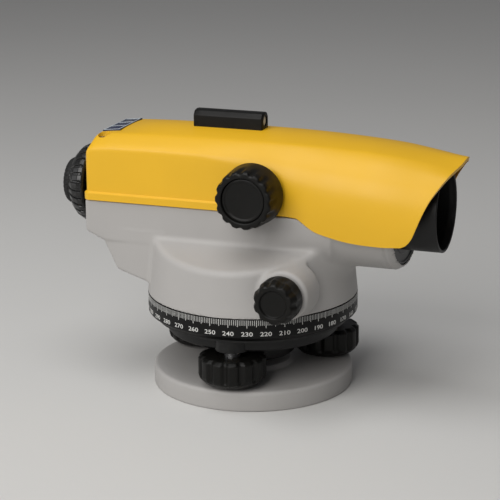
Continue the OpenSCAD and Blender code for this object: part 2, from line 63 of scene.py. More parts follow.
def ease(low, high, value):
    """0 before low, 1 after high, and a smooth step between them."""
    t = np.clip((value - low) / (high - low), 0, 1)
    return t * t * (3 - 2 * t)


def smooth_union(a, b, k):
    """Union of two fields, with the corner between them filled over about k."""
    h = np.clip(0.5 + 0.5 * (b - a) / k, 0, 1)
    return b * (1 - h) + a * h - k * h * (1 - h)


def smooth_cut(a, b, k):
    """Intersection of two fields, with the edge between them rounded."""
    return -smooth_union(-a, -b, k)


def through(xs, ys, x):
    """A smooth curve through the points (xs, ys) that never overshoots them."""
    xs, ys = np.asarray(xs, float), np.asarray(ys, float)
    gap, rise = np.diff(xs), np.diff(ys) / np.diff(xs)
    slope = np.zeros(len(xs))
    slope[0], slope[-1] = rise[0], rise[-1]
    same = rise[:-1] * rise[1:] > 0
    safe = np.where(same, rise[:-1] + rise[1:], 1)
    slope[1:-1] = np.where(same, 2 * rise[:-1] * rise[1:] / safe, 0)
    x = np.clip(x, xs[0], xs[-1])
    i = np.clip(np.searchsorted(xs, x, "right") - 1, 0, len(gap) - 1)
    t = (x - xs[i]) / gap[i]
    return (
        ys[i] * (1 + 2 * t) * (1 - t) ** 2
        + ys[i + 1] * t * t * (3 - 2 * t)
        + gap[i] * (slope[i] * t * (1 - t) ** 2 + slope[i + 1] * t * t * (t - 1))
    )


def rounded(points, closed=True, steps=5):
    """An outline from corners (a, b) or (a, b, radius), with an arc at each corner that has a radius."""
    outline = []
    count = len(points)
    for i, corner in enumerate(points):
        here = np.array(corner[:2], float)
        radius = corner[2] if len(corner) > 2 else 0
        if not radius or (not closed and i in (0, count - 1)):
            outline.append(here)
            continue
        back = np.array(points[i - 1][:2], float) - here
        ahead = np.array(points[(i + 1) % count][:2], float) - here
        back_l, ahead_l = np.linalg.norm(back), np.linalg.norm(ahead)
        back, ahead = back / back_l, ahead / ahead_l
        half = math.acos(np.clip(back @ ahead, -1, 1)) / 2
        reach = min(radius / math.tan(half), back_l * 0.49, ahead_l * 0.49)
        start, end = here + back * reach, here + ahead * reach
        for t in np.linspace(0, 1, steps):
            # a quadratic arc stays within a hundredth of the circle at these sizes
            outline.append((1 - t) ** 2 * start + 2 * t * (1 - t) * here + t * t * end)
    return np.array(outline)


def finer(outline, longest):
    """The same outline with its long stretches divided."""
    points = [outline[0]]
    for a, b in zip(outline[:-1], outline[1:]):
        parts = max(1, math.ceil(np.linalg.norm(b - a) / longest))
        points += [a + (b - a) * k / parts for k in range(1, parts + 1)]
    return np.array(points)


# ---------- materials ----------


class Look:
    """A node material built round one Principled shader."""

    def __init__(self, name, rough, **inputs):
        self.material = bpy.data.materials.new(name)
        self.material.use_nodes = True
        self.tree = self.material.node_tree
        self.shader = self.tree.nodes["Principled BSDF"]
        self.place = self.add("ShaderNodeTexCoord").outputs["Object"]
        self.shader.inputs["Roughness"].default_value = rough
        for key, value in inputs.items():
            self.shader.inputs[key.replace("_", " ")].default_value = value

    def add(self, kind, **settings):
        node = self.tree.nodes.new(kind)
        for key, value in settings.items():
            setattr(node, key, value)
        return node

    def link(self, source, target):
        self.tree.links.new(source, target)

    def noise(self, scale, detail=2.0, stretch=(1, 1, 1)):
        mapping = self.add("ShaderNodeMapping")
        mapping.inputs["Scale"].default_value = stretch
        self.link(self.place, mapping.inputs["Vector"])
        texture = self.add("ShaderNodeTexNoise")
        texture.inputs["Scale"].default_value = scale
        texture.inputs["Detail"].default_value = detail
        self.link(mapping.outputs["Vector"], texture.inputs["Vector"])
        return texture.outputs["Fac"]

    def ramp(self, source, *stops):
        node = self.add("ShaderNodeValToRGB")
        while len(node.color_ramp.elements) < len(stops):
            node.color_ramp.elements.new(0.5)
        for element, (at, colour) in zip(node.color_ramp.elements, stops):
            element.position = at
            element.color = (*colour, 1)
        self.link(source, node.inputs["Fac"])
        return node.outputs["Color"]

    def colour(self, base, spread, scale, worn=None):
        """The base colour with soft patches, and lighter or darker where edges wear."""
        low = tuple(c * (1 - spread) for c in base)
        high = tuple(min(1, c * (1 + spread)) for c in base)
        result = self.ramp(self.noise(scale, 4.0), (0.3, low), (0.7, high))
        if worn:
            edges = self.add("ShaderNodeNewGeometry").outputs["Pointiness"]
            amount = self.ramp(edges, (0.53, (0, 0, 0)), (0.62, (1, 1, 1)))
            scuffs = self.ramp(self.noise(420, 5.0), (0.45, (0, 0, 0)), (0.62, (0.5, 0.5, 0.5)))
            both = self.add("ShaderNodeMath", operation="MULTIPLY")
            self.link(amount, both.inputs[0])
            self.link(scuffs, both.inputs[1])
            mix = self.add("ShaderNodeMix", data_type="RGBA")
            self.link(both.outputs[0], mix.inputs["Factor"])
            self.link(result, mix.inputs["A"])
            mix.inputs["B"].default_value = (*worn, 1)
            result = mix.outputs["Result"]
        self.link(result, self.shader.inputs["Base Color"])

    def grain(self, source, depth, strength=1.0):
        """Fine relief, depth in millimetres."""
        bump = self.add("ShaderNodeBump")
        bump.inputs["Strength"].default_value = strength
        bump.inputs["Distance"].default_value = depth * MM
        self.link(source, bump.inputs["Height"])
        self.link(bump.outputs["Normal"], self.shader.inputs["Normal"])

    def gloss(self, low, high, scale):
        """Roughness that drifts between two values."""
        spread = self.add("ShaderNodeMapRange")
        spread.inputs["From Min"].default_value = 0.3
        spread.inputs["From Max"].default_value = 0.7
        spread.inputs["To Min"].default_value = low
        spread.inputs["To Max"].default_value = high
        self.link(self.noise(scale, 3.0), spread.inputs["Value"])
        self.link(spread.outputs["Result"], self.shader.inputs["Roughness"])


def painted(name, base, rough, peel, worn, coat=0.0, specular=0.5):
    """Sprayed paint: a soft orange peel, and edges worn to another colour."""
    look = Look(name, rough, Coat_Weight=coat, Coat_Roughness=0.2, Specular_IOR_Level=specular)
    look.colour(base, 0.025, 35, worn)
    look.gloss(rough - 0.05, rough + 0.06, 60)
    look.grain(look.noise(1500, 1.0), peel)
    return look.material


def moulded(name, base, rough, relief, worn=None, specular=0.3):
    """Moulded plastic or rubber with a fine grain."""
    look = Look(name, rough, Specular_IOR_Level=specular)
    look.colour(base, 0.12, 90, worn)
    look.gloss(rough - 0.08, rough + 0.08, 140)
    look.grain(look.noise(3200, 4.0), relief)
    return look.material


def turned_metal(name, base, rough, stretch):
    """Bare metal with tool marks drawn out along the stretch."""
    look = Look(name, rough, Metallic=1.0)
    look.colour(base, 0.08, 60)
    look.grain(look.noise(900, 3.0, stretch), 0.02)
    return look.material


def clear_glass(name, tint, coating):
    """Glass with a tint and the colour of its coating's glint."""
    look = Look(name, 0.02, Transmission_Weight=1.0, IOR=1.5, Specular_Tint=(*coating, 1))
    look.colour(tint, 0.01, 20)
    look.gloss(0.01, 0.04, 200)
    return look.material


def make_mirror():
    look = Look("mirror", 0.05, Metallic=1.0)
    look.colour((0.85, 0.87, 0.88), 0.02, 50)
    look.gloss(0.03, 0.09, 300)
    return look.material


def make_materials():
    """One material for each slot of the record, and a few for details."""
    made = {"mirror": make_mirror()}
    for maker, name, *settings in (
        (painted, "yellow_paint", (0.76, 0.43, 0.012), 0.44, 0.02, (0.55, 0.27, 0.02), 0.06, 0.4),
        (painted, "grey_paint", (0.39, 0.378, 0.367), 0.5, 0.03, (0.5, 0.49, 0.48), 0, 0.4),
        (moulded, "black_plastic", (0.004, 0.0038, 0.0032), 0.42, 0.01, (0.014, 0.013, 0.012), 0.2),
        (moulded, "gloss_plastic", (0.006, 0.006, 0.006), 0.24, 0.006, (0.02, 0.02, 0.02), 0.5),
        (moulded, "black_rubber", (0.011, 0.011, 0.011), 0.62, 0.03),
        (painted, "black_metal", (0.006, 0.006, 0.006), 0.42, 0.01, (0.05, 0.05, 0.05), 0, 0.3),
        (painted, "circle_black", (0.003, 0.003, 0.003), 0.45, 0.008, (0.02, 0.02, 0.02), 0, 0.2),
        (turned_metal, "steel", (0.56, 0.56, 0.57), 0.3, (1, 1, 30)),
        (turned_metal, "brass", (0.72, 0.50, 0.19), 0.3, (1, 1, 30)),
        (turned_metal, "bronze", (0.50, 0.30, 0.13), 0.4, (1, 1, 30)),
        (turned_metal, "aluminium", (0.62, 0.63, 0.64), 0.4, (20, 1, 1)),
        (clear_glass, "glass", (0.93, 0.98, 0.97), (0.75, 0.7, 1.0)),
        (clear_glass, "vial_glass", (0.72, 0.9, 0.35), (1, 1, 1)),
        (painted, "label", (0.022, 0.03, 0.07), 0.25, 0.004, None),
        (painted, "white_print", (0.62, 0.62, 0.6), 0.55, 0.008, None),
        (painted, "silver_print", (0.5, 0.55, 0.58), 0.3, 0.004, None),
        # the yellow darkened for the inside of the hood: painted shade, not a separate lining colour
        (moulded, "hood_lining", (0.30, 0.13, 0.015), 0.7, 0.03),
        (painted, "frosted_glass", (0.55, 0.57, 0.58), 0.3, 0.01, None),
    ):
        made[name] = maker(name, *settings)
    return made


MATERIALS = make_materials()


# ---------- pieces ----------


def piece(name, points, faces, body, slot, material=None, replaces=()):
    """A mesh from points in millimetres, riding on a body, in the finish of a slot."""
    mesh = bpy.data.meshes.new(name)
    mesh.from_pydata((np.asarray(points) * MM).tolist(), [], [list(map(int, f)) for f in faces])
    mesh.validate()
    obj = bpy.data.objects.new(name, mesh)
    bpy.context.scene.collection.objects.link(obj)
    mesh.materials.append(MATERIALS[material or slot])
    mesh.shade_smooth()
    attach(obj, body)
    if replaces:
        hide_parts(*replaces)
    return obj


def edit(obj, change):
    """Runs a bmesh change on a piece's mesh."""
    mesh = bmesh.new()
    mesh.from_mesh(obj.data)
    change(mesh)
    mesh.to_mesh(obj.data)
    mesh.free()
    obj.data.update()


def tidy(mesh):
    """Joins points that meet and turns every face outwards."""
    bmesh.ops.remove_doubles(mesh, verts=mesh.verts, dist=1e-7)
    bmesh.ops.dissolve_degenerate(mesh, edges=mesh.edges, dist=1e-8)
    bmesh.ops.recalc_face_normals(mesh, faces=mesh.faces)


def bake(obj):
    """Applies the piece's modifiers to its mesh."""
    graph = bpy.context.evaluated_depsgraph_get()
    mesh = bpy.data.meshes.new_from_object(obj.evaluated_get(graph))
    obj.modifiers.clear()
    obj.data = mesh
    obj.data.name = obj.name
    return obj


def sharpen(obj, angle):
    """Keeps edges sharper than the angle crisp in shading."""
    obj.data.set_sharp_from_angle(angle=math.radians(angle))


def clean_cut(mesh):
    """Splits the many-sided faces that a cut leaves, and drops the slivers among them."""
    wide = [face for face in mesh.faces if len(face.verts) > 4]
    bmesh.ops.triangulate(mesh, faces=wide, ngon_method="BEAUTY")
    bmesh.ops.dissolve_degenerate(mesh, edges=mesh.edges, dist=2e-6)
    rims = [edge for edge in mesh.edges if edge.is_boundary]
    bmesh.ops.holes_fill(mesh, edges=rims, sides=6)
    bmesh.ops.recalc_face_normals(mesh, faces=mesh.faces)


def cut(obj, *cutters):
    """Takes closed cutters away from a piece."""
    for cutter in cutters:
        boolean = obj.modifiers.new("cut", "BOOLEAN")
        boolean.operation = "DIFFERENCE"
        boolean.solver = "EXACT"
        boolean.object = cutter
    bake(obj)
    edit(obj, clean_cut)
    for cutter in cutters:
        bpy.data.objects.remove(cutter)
    return obj


def grid_faces(rows, columns, wrap):
    """Quads over a grid of points, the columns closed in a ring when wrap is set."""
    index = np.arange(rows * columns).reshape(rows, columns)
    nxt = np.roll(index, -1, axis=1)
    if not wrap:
        index, nxt = index[:, :-1], nxt[:, :-1]
    quads = np.stack([index[:-1], nxt[:-1], nxt[1:], index[1:]], axis=-1)
    return quads.reshape(-1, 4)


def along_z(centre):
    """Places (across, across, along) with the length going up."""
    return lambda u, v, s: (centre[0] + u, centre[1] + v, centre[2] + s)


def along_y(centre, way=-1):
    """The same with the length along y, towards -y unless way is 1."""
    return lambda u, v, s: (centre[0] + u, centre[1] + way * s, centre[2] + v)


def along_x(centre, way=1):
    """The same with the length along x."""
    return lambda u, v, s: (centre[0] + way * s, centre[1] + u, centre[2] + v)


def spun(outline, place, turns=192, wave=None):
    """Points and faces of an outline (radius, height) turned about an axis; wave may change the radius."""
    angle = np.arange(turns) * 2 * math.pi / turns
    radius, height = outline[:, :1], outline[:, 1:2]
    radius = radius + 0 * angle
    height = height + 0 * angle
    if wave:
        radius = wave(angle[None, :], radius, height)
    x, y, z = place(radius * np.cos(angle), radius * np.sin(angle), height)
    return np.stack([x, y, z], axis=-1).reshape(-1, 3), grid_faces(len(outline), turns, True)


def lathe(name, corners, place, body, slot, closed=True, longest=4.0, **options):
    """A turned piece. A closed outline is a ring; an open one starts and ends on the axis."""
    outline = rounded(corners, closed)
    if closed:
        outline = np.vstack([outline, outline[:1]])
    outline = finer(outline, longest)
    kept = {k: options.pop(k) for k in ("turns", "wave") if k in options}
    points, faces = spun(outline, place, **kept)
    obj = piece(name, points, faces, body, slot, **options)
    edit(obj, tidy)
    sharpen(obj, 40)
    return obj


def cylinder_cutter(radius, start, end, place, turns=96):
    """A plain closed cylinder, only ever used to cut."""
    outline = np.array([(0, start), (radius, start), (radius, end), (0, end)], float)
    points, faces = spun(outline, place, turns)
    mesh = bpy.data.meshes.new("cutter")
    mesh.from_pydata((points * MM).tolist(), [], faces.tolist())
    obj = bpy.data.objects.new("cutter", mesh)
    bpy.context.scene.collection.objects.link(obj)
    edit(obj, tidy)
    return obj


def surface_of(field, low, high, step):
    """Points and quads of the surface where field(x, y, z) is zero, by surface nets."""
    axes = [np.arange(a, b + step, step) for a, b in zip(low, high)]
    values = field(*np.meshgrid(*axes, indexing="ij"))
    cells = np.array(values.shape) - 1
    total, count = np.zeros((*cells, 3)), np.zeros(cells)
    quads = []
    for axis in range(3):
        near, far = [slice(None)] * 3, [slice(None)] * 3
        near[axis], far[axis] = slice(0, -1), slice(1, None)
        first, second = values[tuple(near)], values[tuple(far)]
        crossed = (first < 0) != (second < 0)
        edge = np.argwhere(crossed)
        point = edge.astype(float)
        point[:, axis] += first[crossed] / (first[crossed] - second[crossed])
        across, up = (axis + 1) % 3, (axis + 2) % 3
        corners = []
        for da, db in ((0, 0), (-1, 0), (-1, -1), (0, -1)):
            cell = edge.copy()
            cell[:, across] += da
            cell[:, up] += db
            np.add.at(total, tuple(cell.T), point)
            np.add.at(count, tuple(cell.T), 1)
            corners.append(cell)
        inner = first[crossed] < 0
        quads.append((corners, inner))
    used = count > 0
    number = np.full(tuple(cells), -1)
    number[used] = np.arange(used.sum())
    points = total[used] / count[used][:, None] * step + np.array(low, float)
    faces = []
    for corners, inner in quads:
        quad = np.stack([number[tuple(c.T)] for c in corners], axis=1)
        faces.append(np.where(inner[:, None], quad, quad[:, ::-1]))
    return settled(field, points, step), np.vstack(faces)


def settled(field, points, step):
    """Moves points onto the field's surface."""
    small = 0.05
    for _ in range(3):
        value = field(*points.T)
        slope = np.stack([
            (field(*(points + small * way).T) - field(*(points - small * way).T)) / (2 * small)
            for way in np.eye(3)
        ], axis=1)
        steep = np.maximum((slope ** 2).sum(1), 0.2)
        move = -(value / steep)[:, None] * slope
        points = points + np.clip(move, -step / 3, step / 3)
    return points


# ---------- camera, light and floor ----------

# the camera's direction in degrees, its offsets in metres, its lens in millimetres
CAMERA_TURN, CAMERA_LIFT, CAMERA_ROLL = 20, 15.86, -0.42
CAMERA_SIDE, CAMERA_UP, CAMERA_BACK = -0.00135, 0.0646, 0.948
CAMERA_LENS, CAMERA_SENSOR = 134.35, 36


def make_camera():
    turn, lift, roll = map(math.radians, (CAMERA_TURN, CAMERA_LIFT, CAMERA_ROLL))
    back = np.array([
        math.sin(turn) * math.cos(lift), -math.cos(turn) * math.cos(lift), math.sin(lift)
    ])
    level = np.array([math.cos(turn), math.sin(turn), 0])
    upright = np.cross(back, level)
    right = math.cos(roll) * level + math.sin(roll) * upright
    up = -math.sin(roll) * level + math.cos(roll) * upright
    at = CAMERA_SIDE * level + CAMERA_UP * upright + CAMERA_BACK * back
    data = bpy.data.cameras.new("camera")
    data.sensor_width = CAMERA_SENSOR
    data.lens = CAMERA_LENS
    camera = bpy.data.objects.new("camera", data)
    rows = [(right[i], up[i], back[i], at[i]) for i in range(3)]
    camera.matrix_world = Matrix(rows + [(0, 0, 0, 1)])
    bpy.context.scene.collection.objects.link(camera)
    bpy.context.scene.camera = camera


def area_light(name, at, size, watts, tint=(1, 1, 1), aim=(0, 0, 0.08)):
    """A rectangular light at a place in metres, turned towards the instrument."""
    data = bpy.data.lights.new(name, "AREA")
    data.shape = "RECTANGLE"
    data.size, data.size_y = size
    data.energy = watts
    data.color = tint
    light = bpy.data.objects.new(name, data)
    toward = Vector(np.array(aim) - np.array(at))
    light.rotation_mode = "QUATERNION"
    light.rotation_quaternion = toward.to_track_quat("-Z", "Y")
    light.location = at
    bpy.context.scene.collection.objects.link(light)


def make_studio():
    """A large soft key from the front, a light above and a faint one from the left."""
    area_light("key", (-0.28, -1.15, 0.8), (1.1, 0.9), 13.2, (1, 0.985, 0.96))
    area_light("top", (-0.1, -0.25, 1.05), (0.8, 0.7), 5.0)
    area_light("left", (-1.1, -0.3, 0.35), (0.5, 0.8), 1.2)
    world = bpy.data.worlds.new("studio")
    world.use_nodes = True
    sky = world.node_tree.nodes["Background"]
    sky.inputs["Color"].default_value = (0.97, 0.97, 1.0, 1)
    sky.inputs["Strength"].default_value = 0.15
    bpy.context.scene.world = world
    bpy.context.scene.view_settings.view_transform = "Standard"


def make_floor():
    """A wide pale floor."""
    reach, steps = 4000.0, 24
    line = np.linspace(-reach, reach, steps) * MM
    points = [(x, y, 0) for x in line for y in line]
    mesh = bpy.data.meshes.new("floor")
    mesh.from_pydata(points, [], grid_faces(steps, steps, False).tolist())
    floor = bpy.data.objects.new("floor", mesh)
    bpy.context.scene.collection.objects.link(floor)
    look = Look("floor", 0.8)
    look.colour((0.62, 0.615, 0.60), 0.01, 3)
    look.grain(look.noise(400, 2.0), 0.05)
    mesh.materials.append(look.material)


# ---------- foot plate and foot screws ----------

FOOT_SIDES = ("front", "right", "left")


def make_foot_plate():
    """A turned plate: a boss on top, a relief below, a pocket under each foot screw."""
    rim, _, top = span("foot_plate")[1]
    bore = span("tripod_thread_bush")[1][0]
    ledge = span("ball_retainers")[1][2]
    relief, relief_in, relief_out = 1.2, 16, 29
    boss_foot_r, boss_top_r = 20.5, 18.6
    pocket_r, pocket_floor, over = 7, 2.5, 20
    plate = lathe(
        "foot_plate_casting",
        [
            (bore, 0), (relief_in, 0, 0.4), (relief_in, relief, 0.4), (relief_out, relief, 0.4),
            (relief_out, 0, 0.4), (rim, 0, 0.9), (rim, ledge, 2.0), (boss_foot_r, ledge, 1.6),
            (boss_top_r, top, 0.9), (bore, top),
        ],
        along_z((0, 0, 0)), "base", "grey_paint", turns=256, replaces=("foot_plate",),
    )
    pockets = []
    for side in FOOT_SIDES:
        low, high = span("foot_knob_" + side)
        x, y, _ = (low + high) / 2
        pockets.append(cylinder_cutter(pocket_r, pocket_floor, over, along_z((x, y, 0))))
    cut(plate, *pockets)
    sharpen(plate, 40)


def flutes(count, depth, width, start, end):
    """A wave that cuts narrow grooves round a grip, fading in between two heights."""
    def wave(angle, radius, height):
        phase = (angle * count / (2 * math.pi) + 0.5) % 1 - 0.5
        groove = 1 - ease(0.1 * width, width, np.abs(phase))
        outer = ease(0.74, 0.86, radius / radius.max())
        return radius - depth * groove * ease(start, end, height) * outer
    return wave


def make_foot_knobs():
    """Three fluted grips, each bored for its spindle."""
    radius, bore, flute_count = 16.6, 4.05, 13
    for side in FOOT_SIDES:
        node = "foot_knob_" + side
        low, high = span(node)
        x, y, _ = (low + high) / 2
        tall = high[2] - low[2]
        lathe(
            node + "_grip",
            [
                (bore, 0.5), (7, 0.5), (7, 0), (13.6, 0, 1.0), (radius - 0.5, 2.4, 1.6),
                (radius, 4.2, 1), (radius, tall - 1.3, 1.2), (14.6, tall, 1.0),
                (8, tall - 0.1, 0.5), (7.4, tall - 0.6, 0.3), (bore, tall - 0.6),
            ],
            along_z((x, y, low[2])), node, "black_plastic", longest=0.7,
            turns=flute_count * 24, wave=flutes(flute_count, 1.3, 0.3, 1.6, 4.0),
            replaces=(node,),
        )


# ---------- circle ----------

# where the 220 degree line stands, seen from above
CIRCLE_220_ANGLE = math.radians(-63.4)
# the lines' lengths at every so many degrees
DIVISIONS = ((10, 3.9), (5, 3.3), (1, 2.6))
NUMERAL_SIZE, NUMERAL_WIDTH, NUMERAL_DROP = 2.95, 1.3, 7.1
BOX_FACES = ((0, 1, 3, 2), (4, 6, 7, 5), (0, 4, 5, 1), (2, 3, 7, 6), (0, 2, 6, 4), (1, 5, 7, 3))


def circle_angle(degree):
    """Direction of a degree's line; the numbers run clockwise."""
    return CIRCLE_220_ANGLE + math.radians(220 - degree)


def make_circle():
    """The black ring with its white degrees."""
    low, high = span("degree_circle")
    rim, _, top = high
    bore = 47
    lathe(
        "degree_circle_ring",
        [
            (bore, low[2]), (bore + 1.5, low[2], 0.6), (rim, top - 9, 1.2), (rim, top, 0.25),
            (bore, top),
        ],
        along_z((0, 0, 0)), "circle", "circle_black", turns=360, longest=3,
        replaces=("degree_circle",),
    )
    make_divisions(rim, top - 0.1)
    make_numerals(rim, top - NUMERAL_DROP)


def make_divisions(rim, top):
    """A white line at each degree, longer at each fifth and tenth one."""
    sunk, proud = 0.08, 0.03
    points, faces = [], []
    for degree in range(360):
        length = next(long for step, long in DIVISIONS if degree % step == 0)
        half = 0.11 if degree % 5 else 0.14
        for r in (rim - sunk, rim + proud):
            for z in (top - length, top):
                for side in (-half, half):
                    turn = circle_angle(degree) + side / rim
                    points.append((r * math.cos(turn), r * math.sin(turn), z))
        faces += [[8 * degree + corner for corner in quad] for quad in BOX_FACES]
    obj = piece("circle_divisions", points, faces, "circle", "circle_black", "white_print")
    edit(obj, tidy)
    sharpen(obj, 30)


def numeral_mesh(text):
    """A number as a thin flat mesh, centred, in millimetres."""
    curve = bpy.data.curves.new("numeral", "FONT")
    curve.body = text
    curve.size = NUMERAL_SIZE
    curve.offset = 0.02
    curve.extrude = 0.05
    curve.resolution_u = 3
    curve.align_x, curve.align_y = "CENTER", "CENTER"
    obj = bpy.data.objects.new("numeral", curve)
    bpy.context.scene.collection.objects.link(obj)
    graph = bpy.context.evaluated_depsgraph_get()
    mesh = bpy.data.meshes.new_from_object(obj.evaluated_get(graph))
    points = [tuple(vertex.co) for vertex in mesh.vertices]
    faces = [list(face.vertices) for face in mesh.polygons]
    bpy.data.objects.remove(obj)
    bpy.data.meshes.remove(mesh)
    bpy.data.curves.remove(curve)
    return points, faces


def make_numerals(rim, middle):
    """The degrees in tens, bent round the circle's wall."""
    points, faces = [], []
    for degree in range(0, 360, 10):
        flat, shapes = numeral_mesh(str(degree))
        faces += [[len(points) + v for v in shape] for shape in shapes]
        for across, up, out in flat:
            turn = circle_angle(degree) + NUMERAL_WIDTH * across / rim
            r = rim + out
            points.append((r * math.cos(turn), r * math.sin(turn), middle + up))
    obj = piece("circle_numerals", points, faces, "circle", "circle_black", "white_print")
    edit(obj, tidy)
    sharpen(obj, 30)


# ---------- housing ----------

# height of the line of sight, half width and rear of the telescope body
SIGHT_Z, BODY_W, BODY_REAR = 95.8, 27.0, -78.6
# lower edge and roof of the bell, and its radius at each
SKIRT_Z, ROOF_Z = 47.55, 76.7
BELL_FOOT_R, BELL_ROOF_R = 52.4, 49.6
# the roof's fall per millimetre outwards, and the cosine of that slope
ROOF_FALL, ROOF_COSINE = 0.305, 0.956
# joint with the cover, and the rim of the objective barrel
JOINT_Z, BARREL_END = 93.3, 79.8
# the slow-motion shaft and how far its bosses reach; the pad of the circular level
SHAFT_X, SHAFT_Z, BOSS_END = 32, 60, 47.5
PAD_Y, PAD_R, PAD_TOP = 38, 10.5, 75
# thickness of the casting
WALL = 2.4
# the underside of the telescope body and its bracket, as corners (x, z) from the rear
HEEL = ((-78.6, 77.5), (-69, 72.9), (-62.1, 58.9), (-50, 55.2))


def past_heel(x, z, stretch):
    """Distance below one stretch of the heel's outline."""
    (x0, z0), (x1, z1) = HEEL[stretch:stretch + 2]
    run, fall = x1 - x0, z1 - z0
    return ((x - x0) * fall - (z - z0) * run) / math.hypot(run, fall)


def bell_gaps(side, reach, z):
    """Distances outside the bell's wall and above its sloping roof."""
    taper = (BELL_FOOT_R - BELL_ROOF_R) / (ROOF_Z - SKIRT_Z)
    wall = reach - BELL_FOOT_R + (z - SKIRT_Z) * taper
    roof = z - ROOF_Z + ROOF_FALL * (side - BODY_W)
    return wall, roof


def rear_field(x, side, z):
    """Rear of the telescope body, and the bracket that carries it."""
    front, bracket_front, bracket_top = 47, -36, 80
    tray = smooth_cut(BODY_REAR - x, HEEL[1][1] - z, 0.8)
    tray = smooth_cut(tray, past_heel(x, z, 0), 1.6)
    tray = smooth_cut(tray, side - BODY_W, 1.6 + 15 * ease(5, 45, x))
    tray = np.maximum(tray, x - front)
    bracket_w = BODY_W - 0.7 + 0.7 * ease(-70, -52, x)
    bracket = smooth_cut(past_heel(x, z, 1), past_heel(x, z, 2), 1.2)
    bracket = smooth_cut(bracket, side - bracket_w, 1.0)
    bracket = np.maximum(bracket, np.maximum(z - bracket_top, x - bracket_front))
    return smooth_union(tray, bracket, 0.6)


def barrel_field(x, round_sight):
    """The objective barrel with its groove and its chamfered rim."""
    start, chamfer, groove = 20, 3.4, 5
    radius = 27.6 + 2.9 * ease(24, 50, x) - 0.62 * np.maximum(x - BARREL_END + chamfer, 0)
    radius = radius - 0.5 * (np.abs(x - BARREL_END + groove) < 0.5)
    barrel = smooth_cut(round_sight - radius, x - BARREL_END, 0.8)
    return np.maximum(barrel, start - x)


def under_cover(x, side, z):
    """The space that the cover's skirt takes up."""
    above = z - through(*zip(*COVER_LOW_EDGE), x) + 0.3
    inside = side - through((20, 40, 50, 72, 92), (27.2, 28.2, 29.2, 29.3, 28.4), x)
    return np.minimum(above, inside)


def boss_field(y, shaft):
    """A round boss about the slow-motion shaft on each side; the near one is a cone."""
    side = np.abs(y)
    radius = np.where(y < 0, 12.1 + 0.12 * (BOSS_END - side), 11.6)
    boss = smooth_cut(shaft - radius, side - BOSS_END, 2.0)
    return np.maximum(boss, 33 - side)


def hollow_field(x, side, z, round_sight, shaft):
    """The inside: telescope body, objective, bores and bell."""
    body = np.maximum(side - BODY_W + WALL, ROOF_Z - z)
    body = np.maximum(body, np.maximum(BODY_REAR + WALL - x, x - 44))
    body = np.maximum(body, past_heel(x, z, 0) + 2.2)
    objective = np.maximum(round_sight - 28, 50 - x)
    throat = np.maximum(round_sight - 18, 40 - x)
    eyepiece = np.maximum(round_sight - EYEPIECE_HOLE_R, x + 60)
    # the bell is open below, round a socket for the vertical bush
    socket_r, bush_r, bush_top = 17, 14, 65
    reach = np.hypot(x, side)
    wall, roof = bell_gaps(side, reach, z)
    under = np.maximum(wall, np.maximum(roof, z - ROOF_Z)) + WALL
    under = np.maximum(under, -np.maximum(reach - socket_r, 46 - z))
    bush = np.maximum(reach - bush_r, z - bush_top)
    return np.minimum.reduce([body, objective, throat, eyepiece, shaft - 5, under, bush])


def housing_field(x, y, z):
    """The cast housing: negative inside the metal."""
    side = np.abs(y)
    round_sight = np.hypot(y, z - SIGHT_Z)
    shaft = np.hypot(x - SHAFT_X, z - SHAFT_Z)
    wall, roof = bell_gaps(side, np.hypot(x, y), z)
    body = smooth_union(rear_field(x, side, z), smooth_cut(wall, roof * ROOF_COSINE, 2.6), 2.4)
    barrel_blend = 8.0 * (1 - ease(62, 72, x)) + 0.3
    body = smooth_union(body, barrel_field(x, round_sight), barrel_blend)
    body = np.maximum(body, under_cover(x, side, z))
    body = smooth_union(body, boss_field(y, shaft), 2.6)
    pad_reach = np.hypot(x, y - PAD_Y)
    pad = smooth_cut(pad_reach - PAD_R, np.maximum(z - PAD_TOP, 66 - z), 0.6)
    body = smooth_union(body, pad, 1.2)
    body = np.maximum(body, np.minimum(PAD_R + 0.4 - pad_reach, z - PAD_TOP))
    body = smooth_cut(body, z - JOINT_Z, 0.7)
    body = smooth_cut(body, SKIRT_Z - z, 0.7)
    return np.maximum(body, -hollow_field(x, side, z, round_sight, shaft))


def make_housing():
    """The grey casting, from the zero surface of its field."""
    low, high = span("lower_housing")
    points, faces = surface_of(housing_field, low - 3.3, high + (6, 3.1, 3.1), 0.8)
    housing = piece(
        "housing_casting", points, faces, "alidade", "grey_paint", replaces=("lower_housing",)
    )
    sharpen(housing, 50)


# ---------- cover ----------

